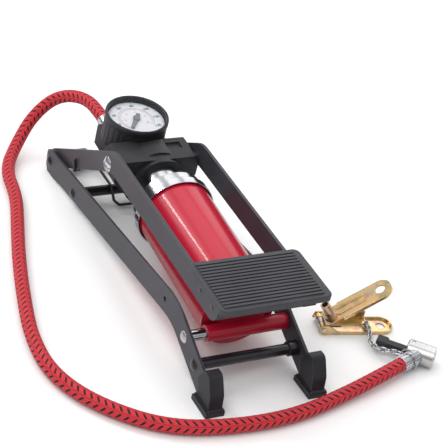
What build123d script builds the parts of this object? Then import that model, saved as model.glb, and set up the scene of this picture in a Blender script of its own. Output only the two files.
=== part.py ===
from build123d import *
import os
from math import asin, atan2, cos, degrees, hypot, radians, sin, tan

# Single-barrel foot pump. All sizes in mm.
# X runs across the pump, Y runs to the rear (gauge end), Z is up and the floor is Z = 0.
# The pump is drawn pressed down, as it is stored. Origin: middle of the base, on the floor.

# ---------------------------------------------------------------- driving dimensions
REAR_PIVOT = (147.5, 10.0)       # (Y, Z) of the rod that the lever turns on
FRONT_AXLE = (-100.4, 24.3)      # (Y, Z) of the axle that the barrel turns on
REAR_BAR = (98.0, 10.8)          # (Y, Z) of the rear cross bar
FRONT_ROD = (-119.5, 15.7)       # (Y, Z) of the front cross rod
RAIL_BEND = (-81.7, 32.7)        # (Y, Z) where the rail's centre line bends down
RAIL_OUTER = 39.7                # half the width over the two rails
PLATE = 2.0                      # thickness of the rails
RAIL_HALF = 9.4                  # half the height of a rail
BASE_REAR = 153.5                # Y of the rails' rear ends
BASE_FRONT = -154.5              # Y of the front edge of the foot shoes

LEG_LENGTH = 106.9               # rear pivot to head pivot
LEG_ANGLE = 150.3                # of the leg, from +Y towards +Z, pump pressed down
ARM_TURN = 32.1                  # the pedal arm turns this much further than the leg
LEVER_SWEEP = 56.3               # travel of the lever, pressed down to fully open
LEVER_OUTER = 35.7               # half the width over the two lever plates
LEVER_PLATE = 2.2
ARM_LENGTH = 183.0               # head pivot to the rounded end of the arm
ARM_LOW, ARM_HIGH = -2.0, 15.8   # edges of the arm, below and above the head pivot
LEG_LOW, LEG_HIGH = -5.3, 9.6    # edges of the leg, either side of its centre line

BARREL_X = 2.5                   # the barrel sits this far to the right of the middle
BARREL_R = 27.5                  # 55 mm barrel
BORE_R = 26.0
BARREL_FRONT, BARREL_REAR = 8.0, 117.0     # along the axis, from the axle
COLLAR_R = 29.5
COLLAR_FRONT, COLLAR_REAR = 112.4, 126.5
TUBE_R = 18.5                    # 37 mm chrome inner tube
TUBE_WALL = 1.2
AXLE_DROP = 7.4                  # the axle lies this far below the barrel's axis
PIN_RISE = 15.0                  # the head pivot lies this far above it
AXLE_R = 4.0
RUNNING = 0.06                   # radial clearance of a shaft in its hole

GAUGE_R = 24.0
GAUGE_HEIGHT = 24.0
HOSE_R = 5.0
FLOOR_HOSE = 5.1                 # height of the hose's centre where it lies on the floor

# ---------------------------------------------------------------- derived places
LEG_DIR = (cos(radians(LEG_ANGLE)), sin(radians(LEG_ANGLE)))
ARM_ANGLE = LEG_ANGLE + ARM_TURN
ARM_DIR = (cos(radians(ARM_ANGLE)), sin(radians(ARM_ANGLE)))
HEAD_PIN = (REAR_PIVOT[0] + LEG_LENGTH * LEG_DIR[0], REAR_PIVOT[1] + LEG_LENGTH * LEG_DIR[1])


def pump_line(pin):
    """Tilt of the barrel's axis in degrees, and the distance from the axle to the pin along it."""
    dy, dz = pin[0] - FRONT_AXLE[0], pin[1] - FRONT_AXLE[1]
    offset = AXLE_DROP + PIN_RISE
    reach = hypot(dy, dz)
    return degrees(atan2(dz, dy) - asin(offset / reach)), reach * cos(asin(offset / reach))


def pin_at(turned):
    """(Y, Z) of the head pivot when the lever has been raised by this many degrees."""
    angle = radians(LEG_ANGLE - turned)
    return REAR_PIVOT[0] + LEG_LENGTH * cos(angle), REAR_PIVOT[1] + LEG_LENGTH * sin(angle)


TILT, PIN_ALONG = pump_line(HEAD_PIN)
TILT_OPEN, PIN_ALONG_OPEN = pump_line(pin_at(LEVER_SWEEP))
STROKE = PIN_ALONG_OPEN - PIN_ALONG

# The pump frame: X across, Y along the barrel's axis to the rear, Z square to it, upwards.
AXIS_START = (FRONT_AXLE[0] - AXLE_DROP * sin(radians(TILT)), FRONT_AXLE[1] + AXLE_DROP * cos(radians(TILT)))
PUMP = Location((0, AXIS_START[0], AXIS_START[1]), (TILT, 0, 0))


def from_pump(x, along, up):
    """A point of the pump frame, in the part's own frame."""
    spot = (PUMP * Pos(x, along, up)).position
    return (spot.X, spot.Y, spot.Z)


# ---------------------------------------------------------------- shape helpers
def rounded_face(corners):
    """A flat face from (u, v, radius) corners; radius 0 keeps a corner sharp."""
    face = make_face(Polyline(*[(u, v) for u, v, radius in corners], close=True))
    for u, v, radius in corners:
        if radius:
            corner = face.vertices().sort_by_distance((u, v, 0))[0]
            face = fillet(corner, radius)
    return face


def side_plate(corners, x_low, x_high):
    """A plate between two X planes, with an outline of (Y, Z, radius) corners."""
    return Pos(x_low, 0, 0) * extrude(Plane.YZ * rounded_face(corners), x_high - x_low, dir=(1, 0, 0))


def rod_x(radius, x_low, x_high, y, z):
    return Pos((x_low + x_high) / 2, y, z) * Rot(0, 90, 0) * Cylinder(radius, x_high - x_low)


def rod_y(radius, low, high, x=BARREL_X, z=0.0):
    return Pos(x, (low + high) / 2, z) * Rot(-90, 0, 0) * Cylinder(radius, high - low)


def ring_y(outer, inner, low, high, x=BARREL_X, z=0.0):
    return rod_y(outer, low, high, x, z) - rod_y(inner, low - 1, high + 1, x, z)


def disc(radius, low, high):
    """A disc about Z."""
    return Pos(0, 0, (low + high) / 2) * Cylinder(radius, high - low)


def block(x_low, x_high, y_low, y_high, z_low, z_high):
    centre = Pos((x_low + x_high) / 2, (y_low + y_high) / 2, (z_low + z_high) / 2)
    return centre * Box(x_high - x_low, y_high - y_low, z_high - z_low)


def dome(radius, height):
    """A rivet or screw head: flat at Z = 0, crowned on top."""
    crown = (radius**2 + height**2) / (2 * height)
    return Pos(0, 0, height - crown) * Sphere(crown) & disc(radius, 0, height)


def arc_radii(points):
    """The arc at each inner corner: 0.45 of the shorter run. An end run has one arc, so it counts twice."""
    runs = [(Vector(*end) - Vector(*start)).length for start, end in zip(points, points[1:])]
    room = [2 * runs[0], *runs[1:-1], 2 * runs[-1]]
    radii = []
    for index, (before, corner, after) in enumerate(zip(points, points[1:], points[2:])):
        turn = radians((Vector(*corner) - Vector(*before)).get_angle(Vector(*after) - Vector(*corner)))
        radii.append(0.45 * min(room[index], room[index + 1]) / tan(turn / 2))
    return radii


def tube_along(path, radius):
    start = Plane(origin=path @ 0, z_dir=path % 0)
    return sweep(start * Circle(radius), path=path)


def wire_form(points, wire_r, bend):
    """A bent wire: straight runs with one bend radius."""
    return tube_along(FilletPolyline(*points, radius=bend), wire_r)


def mirrored(solid):
    return mirror(solid, Plane.YZ)


NODES = {}


def node(name, *solids):
    """Names a piece; a group of identical fasteners is one node of separate solids."""
    pieces = [piece for solid in solids for piece in solid.solids()]
    NODES[name] = pieces[0] if len(pieces) == 1 else Compound(children=pieces)


# ---------------------------------------------------------------- base frame
def rail_outline():
    """The rail's side view: straight from the rear, then bent down into the front shoe."""
    rise = atan2(RAIL_BEND[1] - REAR_PIVOT[1], REAR_PIVOT[0] - RAIL_BEND[0])
    drop = atan2(FRONT_AXLE[1] - FRONT_ROD[1], FRONT_AXLE[0] - FRONT_ROD[0])
    middle = (rise - drop) / 2
    at_bend = RAIL_HALF / cos((rise + drop) / 2)
    front = (FRONT_ROD[0] - 17 * cos(drop), FRONT_ROD[1] - 17 * sin(drop))

    def straight(y, side):
        return RAIL_BEND[1] - (y - RAIL_BEND[0]) * tan(rise) + side * RAIL_HALF / cos(rise)

    return [
        (BASE_REAR, straight(BASE_REAR, 1), 5),
        (RAIL_BEND[0] + at_bend * sin(middle), RAIL_BEND[1] + at_bend * cos(middle), 58),
        (front[0] - RAIL_HALF * sin(drop), front[1] + RAIL_HALF * cos(drop), 0),
        (front[0] + RAIL_HALF * sin(drop), front[1] - RAIL_HALF * cos(drop), 0),
        (RAIL_BEND[0] - at_bend * sin(middle), RAIL_BEND[1] - at_bend * cos(middle), 42),
        (120, straight(120, -1), 0),
        (140, 0, 0),
        (BASE_REAR - 3, 0, 0),
        (BASE_REAR, 4.5, 0),
    ]


TENON_R = 3.0
RIVET_HEAD_R = 4.4


def side_rail():
    """The left rail, with the holes for the two cross members, the pivot rod and the axle."""
    rail = side_plate(rail_outline(), -RAIL_OUTER, -RAIL_OUTER + PLATE)
    low, high = -RAIL_OUTER - 1, -RAIL_OUTER + PLATE + 1
    for place in (REAR_BAR, FRONT_ROD, REAR_PIVOT, FRONT_AXLE):
        rail -= rod_x(TENON_R + RUNNING, low, high, *place)
    lock_hole = (-67.5, 31.3)
    return rail - rod_x(2.2, low, high, *lock_hole)


def cross_member(place, radius):
    """A bar between the rails; its turned-down ends pass through them and are peened over."""
    inner = RAIL_OUTER - PLATE
    bar = rod_x(radius, -inner, inner, *place) + rod_x(TENON_R, -RAIL_OUTER - 0.5, RAIL_OUTER + 0.5, *place)
    head = Rot(0, 90, 0) * dome(RIVET_HEAD_R, 1.8)
    return bar + Pos(RAIL_OUTER, *place) * head + mirrored(Pos(RAIL_OUTER, *place) * head)


def shoe_side():
    """Side view of a foot shoe: a wide sole, a notched back and a rounded tongue up the rail."""
    front = BASE_FRONT
    return [
        (front + 21.5, 0, 0), (front + 21.5, 4.6, 1.0), (front + 18.0, 8.0, 0), (front + 19.0, 12.5, 0),
        (front + 21.5, 17.5, 0.8), (front + 15.5, 27.5, 2.0), (front + 9.0, 27.8, 4.5),
        (front + 2.2, 15.0, 12.0), (front + 1.6, 5.0, 0), (front, 4.2, 1.0), (front, 0, 0),
    ]


SHOE_OUTER, SHOE_INNER = -45.2, -31.6


def foot_shoe():
    """The left shoe, moulded round the end of the rail."""
    upper = side_plate(shoe_side(), SHOE_OUTER + 1.8, SHOE_INNER - 1.6)
    sole_rear = BASE_FRONT + 21.5
    sole_side = [(sole_rear, 0, 0), (sole_rear, 4.4, 1), (BASE_FRONT, 4.0, 1), (BASE_FRONT, 0, 0)]
    shoe = upper + side_plate(sole_side, SHOE_OUTER, SHOE_INNER)
    rail_end = [(y, z, 0) for y, z, radius in rail_outline()[2:4]]
    rail_in_shoe = [(FRONT_ROD[0] + 8.0, FRONT_ROD[1] - 7.0, 0), (FRONT_ROD[0] - 0.5, FRONT_ROD[1] + 12.6, 0)]
    return shoe - side_plate(rail_end + rail_in_shoe, -RAIL_OUTER, -RAIL_OUTER + PLATE)


def base_frame():
    rail = side_rail()
    node("left_side_rail", rail)
    node("right_side_rail", mirrored(rail))
    node("rear_cross_bar", cross_member(REAR_BAR, 4.0))
    inner = RAIL_OUTER - PLATE
    node("front_cross_rod", cross_member(FRONT_ROD, 4.0) + rod_x(5.2, inner - 7, inner, *FRONT_ROD))
    shoe = foot_shoe()
    node("left_foot_shoe", shoe)
    node("right_foot_shoe", mirrored(shoe))
    node("lever_pivot_rod", cross_member(REAR_PIVOT, AXLE_R))
    node("barrel_axle", cross_member(FRONT_AXLE, AXLE_R))


# ---------------------------------------------------------------- return spring
WIRE_R = 1.1
COIL_R = 6.4                     # to the middle of the wire
ARM_X = 9.5                      # the two long arms, either side of the middle
COIL_INNER, COIL_OUTER = 9.0, 18.8


def return_spring():
    """Double torsion spring: two coils on the pivot rod and one looped arm over the rear bar."""
    y, z = REAR_PIVOT
    over_bar = REAR_BAR[1] + 4.0 + WIRE_R + 0.1
    start = z + COIL_R
    bar_front, loop_front = REAR_BAR[0] - 3, REAR_BAR[0] - 15
    points = [
        (-ARM_X, y, start), (-ARM_X, bar_front, over_bar), (-ARM_X, loop_front + 4, over_bar - 8),
        (-ARM_X + 3, loop_front, over_bar - 10), (ARM_X - 3, loop_front, over_bar - 10),
        (ARM_X, loop_front + 4, over_bar - 8), (ARM_X, bar_front, over_bar), (ARM_X, y, start),
    ]
    spring = wire_form(points, WIRE_R, 2.0)
    for side in (-1, 1):
        low, high = sorted((side * COIL_INNER, side * COIL_OUTER))
        coil = rod_x(COIL_R + WIRE_R, low, high, y, z) - rod_x(COIL_R - WIRE_R, low - 1, high + 1, y, z)
        spring += coil
    return spring


def spring_hook():
    """The right end of the spring: from the coil along the leg, then hooked over its edge."""
    y, z = REAR_PIVOT
    x_in, x_out = LEVER_OUTER - LEVER_PLATE - 2.0, LEVER_OUTER + WIRE_R + 0.15
    below = LEG_LOW - WIRE_R - 0.3

    def on_leg(x, along, up):
        return (x, y + along * LEG_DIR[0] + up * LEG_DIR[1], z + along * LEG_DIR[1] - up * LEG_DIR[0])

    points = [on_leg(COIL_OUTER + 1.6, 0.0, -COIL_R), on_leg(x_in, 40.0, below), on_leg(x_out, 45.0, below),
              on_leg(x_out, 47.0, 2.5)]
    turn = rod_x(COIL_R + WIRE_R, COIL_OUTER + 0.5, COIL_OUTER + 2.7, y, z)
    turn -= rod_x(COIL_R - WIRE_R, COIL_OUTER, COIL_OUTER + 4, y, z)
    return wire_form(points, WIRE_R, 1.6) + turn


# ---------------------------------------------------------------- lever
def line_crossing(p, u, q, v):
    """Where the line through p along u meets the line through q along v."""
    cross = u[0] * v[1] - u[1] * v[0]
    run = ((q[0] - p[0]) * v[1] - (q[1] - p[1]) * v[0]) / cross
    return p[0] + run * u[0], p[1] + run * u[1]


def off_leg(along, up):
    """(Y, Z) of a point beside the leg; up is towards the rear and top."""
    return (REAR_PIVOT[0] + along * LEG_DIR[0] + up * LEG_DIR[1],
            REAR_PIVOT[1] + along * LEG_DIR[1] - up * LEG_DIR[0])


def off_arm(along, up):
    """(Y, Z) of a point beside the pedal arm, counted from the head pivot."""
    return (HEAD_PIN[0] + along * ARM_DIR[0] + up * ARM_DIR[1],
            HEAD_PIN[1] + along * ARM_DIR[1] - up * ARM_DIR[0])


def lever_outline():
    elbow = line_crossing(off_leg(0, LEG_HIGH), LEG_DIR, off_arm(0, ARM_HIGH), ARM_DIR)
    crook = line_crossing(off_leg(0, LEG_LOW), LEG_DIR, off_arm(0, ARM_LOW), ARM_DIR)
    return [
        (*off_leg(-6.5, LEG_HIGH), 8), (*elbow, 24), (*off_arm(ARM_LENGTH, ARM_HIGH), 4),
        (*off_arm(ARM_LENGTH, ARM_LOW), 9), (*crook, 26), (*off_leg(-6.5, LEG_LOW), 5),
    ]


PIVOT_BUSH_R = 4.8
PIN_SCREW_R = 3.0
WEB_RIVETS = ((157.0, 7.0), (175.0, 7.0))      # (along, up) on the arm


def lever_plate():
    """The left lever plate: a rear leg and a long pedal arm stamped in one piece."""
    low, high = -LEVER_OUTER, -LEVER_OUTER + LEVER_PLATE
    plate = side_plate(lever_outline(), low, high)
    plate -= rod_x(PIVOT_BUSH_R + 0.05, low - 1, high + 1, *REAR_PIVOT)
    plate -= rod_x(PIN_SCREW_R + 0.05, low - 1, high + 1, *HEAD_PIN)
    for along, up in WEB_RIVETS:
        plate -= rod_x(2.05, low - 1, high + 1, *off_arm(along, up))
    return plate


def lever_bush():
    """Nylon bush: a sleeve in the leg and a flange that spaces the leg off the rail."""
    inner = LEVER_OUTER - LEVER_PLATE
    bush = rod_x(PIVOT_BUSH_R, inner - 0.4, LEVER_OUTER, *REAR_PIVOT)
    bush += rod_x(PIVOT_BUSH_R + 2, LEVER_OUTER, RAIL_OUTER - PLATE - 0.25, *REAR_PIVOT)
    return bush - rod_x(AXLE_R + RUNNING, 0, RAIL_OUTER, *REAR_PIVOT)


def cross_recess(depth, reach, width=1.3):
    """The two crossed slots of a screw head, to be cut from a head whose top is at Z = 0."""
    return Pos(0, 0, -depth / 2) * (Box(2 * reach, width, depth) + Box(width, 2 * reach, depth))


CHEEK = 33.1                     # half-width of the head block
NOTCH_DEPTH = 3.2


def pin_screw():
    """A head pivot screw on the right; its stub ends in the notch of the head block."""
    head = dome(6.0, 2.6) - Pos(0, 0, 2.9) * cross_recess(1.8, 3.4)
    place = Pos(LEVER_OUTER, *HEAD_PIN) * Rot(0, 90, 0)
    stub_end = CHEEK - NOTCH_DEPTH + 0.35
    return place * head + rod_x(PIN_SCREW_R, stub_end, LEVER_OUTER + 0.5, *HEAD_PIN)


WEB_START, WEB_END = 151.0, 181.0
PAD_START, PAD_END = 144.0, 196.0
PAD_HALF = 40.8
PAD_BASE = ARM_HIGH + 0.1
PAD_PLATE, RIB_RISE = 4.4, 1.0
RIB_COUNT, RIB_GAP = 15, 3.1
PAD_SCREWS = (-18.0, 18.0)
PAD_SCREW_ALONG = 166.0


def on_arm(solid):
    """Carries a solid drawn flat (X across, Y forward along the arm, Z up) onto the arm."""
    return Location((0, *HEAD_PIN), (ARM_ANGLE - 180, 0, 0)) * Rot(0, 0, 180) * solid


def cross_web():
    """A pressed channel between the arm ends that carries the pedal pad."""
    half = LEVER_OUTER - LEVER_PLATE - 0.05
    shell = block(-half, half, WEB_START, WEB_END, 1.0, ARM_HIGH)
    inside = block(-half + 1.8, half - 1.8, WEB_START - 1, WEB_END - 1.8, 0, ARM_HIGH - 1.8)
    web = shell - inside
    for along, up in WEB_RIVETS:
        web -= rod_x(2.05, -LEVER_OUTER, LEVER_OUTER, along, up)
    for x in PAD_SCREWS:
        web -= Pos(x, PAD_SCREW_ALONG, 0) * disc(2.05, 0, 30)
    return on_arm(web)


def pedal_pad():
    """Ribbed foot pad: a rounded plate with a plain border, cross ribs and a thin skirt."""
    centre = (PAD_START + PAD_END) / 2
    length = PAD_END - PAD_START
    plate = Pos(0, centre, PAD_BASE) * extrude(RectangleRounded(2 * PAD_HALF, length, 5), PAD_PLATE)
    plate = fillet(plate.edges().group_by(Axis.Z)[-1], 1.2)
    first = centre - RIB_GAP * (RIB_COUNT - 1) / 2
    for index in range(RIB_COUNT):
        along = first + RIB_GAP * index
        plate += block(-PAD_HALF + 6, PAD_HALF - 3, along - 0.85, along + 0.85,
                       PAD_BASE + PAD_PLATE - 0.5, PAD_BASE + PAD_PLATE + RIB_RISE)
    for x in PAD_SCREWS:
        plate += Pos(x, PAD_SCREW_ALONG, 0) * (disc(4, PAD_BASE, PAD_BASE + 2))
        plate -= Pos(x, PAD_SCREW_ALONG, 0) * disc(2.05, PAD_BASE - 1, PAD_BASE + 3.4)
    return on_arm(plate)


def pad_screw(x):
    """A screw up through the web into the pad."""
    under_web = ARM_HIGH - 1.8
    screw = disc(2.0, under_web - 0.5, PAD_BASE + 3.3)
    screw += Pos(0, 0, under_web) * Rot(180, 0, 0) * dome(3.8, 2.0)
    return on_arm(Pos(x, PAD_SCREW_ALONG, 0) * screw)


def pad_catch():
    """Small moulded catch under the front of the pad, on the right."""
    rear, lip, throat = PAD_END - 12, PAD_END - 5, PAD_END - 8.5
    hook = [(rear, PAD_BASE, 0), (rear, PAD_BASE - 6.5, 1), (lip, PAD_BASE - 6.5, 1),
            (lip, PAD_BASE - 4.0, 0), (throat, PAD_BASE - 4.0, 0), (throat, PAD_BASE, 0)]
    return on_arm(side_plate(hook, -32.0, -23.0))


def web_rivet(along, up):
    """A rivet through the right arm into the web."""
    y, z = off_arm(along, up)
    head = Pos(LEVER_OUTER, y, z) * Rot(0, 90, 0) * dome(2.5, 0.5)
    return head + rod_x(2.0, LEVER_OUTER - LEVER_PLATE - 2.6, LEVER_OUTER + 0.1, y, z)


def lever():
    plate = lever_plate()
    node("left_lever_plate", plate)
    node("right_lever_plate", mirrored(plate))
    bush = lever_bush()
    node("lever_pivot_bushes", bush, mirrored(bush))
    screw = pin_screw()
    node("head_pivot_screws", screw, mirrored(screw))
    node("pedal_cross_web", cross_web())
    node("pedal_pad", pedal_pad())
    node("pedal_pad_screws", *[pad_screw(x) for x in PAD_SCREWS])
    node("pedal_catch", pad_catch())
    rivets = [web_rivet(*place) for place in WEB_RIVETS]
    node("web_rivets", *rivets, *[mirrored(rivet) for rivet in rivets])
    hook = spring_hook()
    node("return_spring_hooks", hook, mirrored(hook))


# ---------------------------------------------------------------- barrel
CROSS_R = 5.75                   # cross tube on the axle
BUSH_R = 22.0
COLLAR_STEP = 118.6              # where the collar's lip steps down
GASKET_R, GASKET_REAR = 28.65, 114.4     # the gasket lies in a counterbore of the lip


def barrel():
    node("barrel_tube", PUMP * ring_y(BARREL_R, BORE_R, BARREL_FRONT, BARREL_REAR))
    cap = rod_y(BARREL_R, BARREL_FRONT - 1.5, BARREL_FRONT)
    cap += rod_y(BORE_R - 0.05, BARREL_FRONT, BARREL_FRONT + 2.4)
    saddle = block(BARREL_X - 15, BARREL_X + 19, 2.0, BARREL_FRONT - 1.5, -AXLE_DROP - 5.5, -AXLE_DROP + 5.5)
    cross_low, cross_high = -24.0, 37.2
    cross_hole = rod_x(CROSS_R + 0.02, cross_low - 1, cross_high + 1, 0, -AXLE_DROP)
    node("barrel_end_cap", PUMP * (cap + (saddle - cross_hole)))
    cross = rod_x(CROSS_R, cross_low, cross_high, 0, -AXLE_DROP)
    cross -= rod_x(AXLE_R + RUNNING, cross_low - 1, cross_high + 1, 0, -AXLE_DROP)
    node("barrel_cross_tube", PUMP * cross)
    collar = rod_y(COLLAR_R, COLLAR_FRONT, COLLAR_STEP) + rod_y(COLLAR_R - 2.0, COLLAR_STEP, COLLAR_REAR)
    collar -= rod_y(GASKET_R + 0.05, COLLAR_FRONT - 1, GASKET_REAR)
    collar -= rod_y(BARREL_R + 0.02, COLLAR_FRONT - 1, BARREL_REAR)
    collar -= rod_y(BUSH_R + 0.02, BARREL_REAR - 1, COLLAR_REAR + 1)
    node("barrel_collar", PUMP * fillet(collar.edges().filter_by(GeomType.CIRCLE).sort_by(Axis.Y)[-1:], 1.0))
    node("collar_gasket", PUMP * ring_y(GASKET_R, BARREL_R + 0.02, COLLAR_FRONT + 0.8, GASKET_REAR))
    node("guide_bush", PUMP * ring_y(BUSH_R, TUBE_R + RUNNING, BARREL_REAR, COLLAR_REAR - 0.8))


# ---------------------------------------------------------------- piston and inner tube
TUBE_FRONT = 13.8
TUBE_REAR = PIN_ALONG + 8.0
SEAL_BACK = 16.9


def piston_group():
    bore = TUBE_R - TUBE_WALL
    node("inner_tube", PUMP * ring_y(TUBE_R, bore, TUBE_FRONT, TUBE_REAR))
    piston = rod_y(BORE_R - 0.3, 10.8, TUBE_FRONT) + rod_y(bore - 0.02, TUBE_FRONT, 24.0)
    piston -= rod_y(1.6, 10, 26) + rod_y(3.4, 14.6, 26)
    node("piston", PUMP * piston)
    node("piston_cup_seal", PUMP * ring_y(BORE_R - 0.08, TUBE_R + 0.02, TUBE_FRONT, SEAL_BACK))
    node("seal_washer", PUMP * ring_y(BORE_R - 2.5, TUBE_R + 0.02, SEAL_BACK, SEAL_BACK + 1.0))
    node("check_valve_ball", PUMP * Pos(BARREL_X, 17.6, 0) * Sphere(2.5))
    node("check_valve_spring", PUMP * ring_y(2.6, 1.5, 20.3, 25.0))
    node("check_valve_cage", PUMP * (rod_y(bore - 0.02, 25.0, 27.0) - rod_y(1.2, 24, 28)))


# ---------------------------------------------------------------- head block
HEAD_FRONT = PIN_ALONG - 10.0
HEAD_DEPTH = 24.0
HOOD_TOP = PIN_RISE + 7.5
DECK_TOP = PIN_RISE - 7.2
GAUGE_ALONG = PIN_ALONG + 34.8
GAUGE_X = -0.8
DECK_REAR = GAUGE_ALONG + 22.0
FLANGE_R = 23.0
STEM_R = 4.0
BARB_R = 3.6
BARB_X, BARB_UP = -8.0, 1.2
HOSE_START = DECK_REAR + 1.0


def slot_path():
    """Places of the lever's pin relative to the head block over the whole travel: (along, up)."""
    steps = 12
    places = []
    for step in range(steps + 1):
        share = step / steps
        y, z = pin_at(share * LEVER_SWEEP)
        tilt = radians(TILT + share * (TILT_OPEN - TILT))
        along = PIN_ALONG + share * STROKE
        dy, dz = y - FRONT_AXLE[0], z - FRONT_AXLE[1]
        seen_along = dy * cos(tilt) + dz * sin(tilt) - along
        seen_up = -dy * sin(tilt) + dz * cos(tilt) - AXLE_DROP - PIN_RISE
        places.append((seen_along, seen_up))
    return places


def pin_notch():
    """The notch in the right cheek: room for the pin, from its rest place up past the hood."""
    room = PIN_SCREW_R + 0.5
    places = slot_path()
    back = max(along for along, up in places) + room
    front = min(along for along, up in places) - room
    low, high = CHEEK - NOTCH_DEPTH, CHEEK + 1
    notch = block(low, high, PIN_ALONG + front, PIN_ALONG + back, PIN_RISE, HOOD_TOP + 1)
    return notch + rod_x(room, low, high, PIN_ALONG, PIN_RISE)


def head_block():
    """Moulded head: a hood over the inner tube's end, and a deck behind it under the gauge."""
    hood_outline = [(3.5 - CHEEK, HOOD_TOP, 1), (CHEEK - 3.5, HOOD_TOP, 1), (CHEEK, HOOD_TOP - 4, 1),
                    (CHEEK, 5.0, 1.5), (25.0, -7.0, 2), (-22.0, -7.0, 2), (-CHEEK, 5.0, 1.5),
                    (-CHEEK, HOOD_TOP - 4, 1)]
    hood_face = Plane.XZ * rounded_face(hood_outline)
    head = Pos(0, HEAD_FRONT, 0) * extrude(hood_face, HEAD_DEPTH, dir=(0, 1, 0))
    head += rod_y(FLANGE_R + 1.5, HEAD_FRONT + 5.5, HEAD_FRONT + HEAD_DEPTH + 6.0)
    head += block(-20.0, 20.0, HEAD_FRONT + 10, DECK_REAR, -9.0, DECK_TOP)
    gauge_room = Pos(GAUGE_X, GAUGE_ALONG, DECK_TOP) * disc(GAUGE_R + 0.6, 0, 40)
    head -= gauge_room
    head -= rod_y(FLANGE_R + 0.05, HEAD_FRONT - 1, HEAD_FRONT + 5.5)
    head -= rod_y(TUBE_R + 0.02, HEAD_FRONT, TUBE_REAR)
    head -= rod_y(TUBE_R - 3.0, HEAD_FRONT, TUBE_REAR + 6)
    notch = pin_notch()
    head -= notch
    head -= mirrored(notch)
    head -= Pos(GAUGE_X, GAUGE_ALONG, 0) * disc(STEM_R, DECK_TOP - 10, DECK_TOP + 1)
    head -= rod_y(BARB_R + 0.02, DECK_REAR - 14, DECK_REAR + 1, BARB_X, BARB_UP)
    head -= rod_y(1.4, TUBE_REAR + 5, DECK_REAR - 13, BARB_X, BARB_UP)
    head -= rod_x(1.2, BARB_X, GAUGE_X, GAUGE_ALONG, BARB_UP - 2)
    head -= block(12.0, 24.0, HEAD_FRONT + 12.0, HEAD_FRONT + 19.0, HOOD_TOP - 1.8, HOOD_TOP + 1)
    return head


def hose_barb():
    """Brass hose tail: a spigot in the deck, a shoulder, and a bore through both."""
    barb = rod_y(BARB_R, DECK_REAR - 14, DECK_REAR, BARB_X, BARB_UP)
    barb += rod_y(HOSE_R, DECK_REAR, HOSE_START, BARB_X, BARB_UP)
    return barb - rod_y(1.4, DECK_REAR - 15, HOSE_START + 1, BARB_X, BARB_UP)


def head():
    node("head_block", PUMP * head_block())
    ribs = ring_y(FLANGE_R, TUBE_R + 0.02, HEAD_FRONT - 3.0, HEAD_FRONT + 5.5)
    node("tube_flange", PUMP * ribs)
    node("hose_barb", PUMP * hose_barb())
    sleeve = ring_y(HOSE_R + 1.2, HOSE_R + 0.04, HOSE_START - 0.6, HOSE_START + 12.0, BARB_X, BARB_UP)
    node("hose_crimp_sleeve", PUMP * sleeve)


# ---------------------------------------------------------------- gauge
RIM_UP = PIN_RISE + 16.8
LENS_R = 21.9
DIAL_UP = RIM_UP - 6.0
POINTER_UP = DIAL_UP + 1.4
POINTER_TURN = 145.0             # from the rear, anticlockwise seen from above
GAUGE = PUMP * Pos(GAUGE_X, GAUGE_ALONG, 0)


def gauge():
    floor = RIM_UP - GAUGE_HEIGHT
    cup = disc(GAUGE_R, floor, RIM_UP) - disc(GAUGE_R - 2.6, floor + 2.4, RIM_UP - 5.0)
    cup -= disc(LENS_R + 0.03, RIM_UP - 5.6, RIM_UP + 1)
    cup -= disc(STEM_R + 0.02, floor - 1, floor + 3)
    cup = chamfer(cup.edges().group_by(Axis.Z)[0], 0.8)
    node("gauge_housing", GAUGE * cup)
    node("gauge_lens", GAUGE * disc(LENS_R, RIM_UP - 2.2, RIM_UP - 0.6))
    dial = disc(LENS_R - 0.6, DIAL_UP, DIAL_UP + 0.8) - disc(0.9, DIAL_UP - 1, DIAL_UP + 2)
    node("gauge_dial", GAUGE * dial)
    works = disc(13.0, floor + 6.0, DIAL_UP) - disc(0.9, floor + 9, DIAL_UP + 1)
    node("gauge_movement", GAUGE * works)
    stem = disc(STEM_R - 0.02, DECK_TOP - 10, floor + 3.0) + disc(6.0, floor + 2.4, floor + 6.0)
    node("gauge_stem", GAUGE * (stem - disc(1.2, DECK_TOP - 11, floor + 4)))
    hand = [(1.2, 13.5, 0), (-1.2, 13.5, 0), (-1.9, 0, 0), (-1.5, -6.5, 0), (1.5, -6.5, 0), (1.9, 0, 0)]
    pointer = Pos(0, 0, POINTER_UP) * extrude(rounded_face(hand), 0.7)
    pointer += disc(2.7, POINTER_UP, POINTER_UP + 1.1) + disc(0.9 - RUNNING, floor + 12, POINTER_UP)
    node("gauge_pointer", GAUGE * Rot(0, 0, POINTER_TURN) * pointer)


# ---------------------------------------------------------------- hose
CHUCK_R = 7.8
# The hose is two lengths: the first rides on the head, the second lies on the floor.
HOSE_SPLIT = (-52.7, 180.6, 17.7)
HOSE_RISE = [
    from_pump(BARB_X, HOSE_START, BARB_UP), from_pump(BARB_X, HOSE_START + 15.5, BARB_UP),
    (-10.7, 157.7, 58.9), (-24.3, 180.5, 47.4), (-43.4, 187.0, 26.8), HOSE_SPLIT,
]
HOSE_RUN = [
    HOSE_SPLIT, (-62.0, 174.2, 8.6), (-78.5, 150.7, FLOOR_HOSE), (-79.2, 110.9, FLOOR_HOSE),
    (-91.5, 74, FLOOR_HOSE), (-105.5, 31, FLOOR_HOSE), (-118, -15, FLOOR_HOSE), (-127, -55, FLOOR_HOSE),
    (-127.5, -93, FLOOR_HOSE),
    (-111, -128, FLOOR_HOSE), (-77, -160, FLOOR_HOSE), (-34, -171, FLOOR_HOSE), (12, -172, FLOOR_HOSE),
    (55, -162, 6.0), (84.8, -154.1, CHUCK_R), (108, -146.3, CHUCK_R),
]


def hose_tube(name, route, radii):
    """A plain tube along the route, with its arc radii and volume printed."""
    path = FilletPolyline(*route, radius=radii)
    tube = tube_along(path, HOSE_R)
    section = 3.14159 * HOSE_R**2
    print(name, "length", round(path.length, 1), "radii", [round(radius) for radius in radii],
          "volume share", round(tube.volume / (section * path.length), 4))
    node(name, tube)


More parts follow.
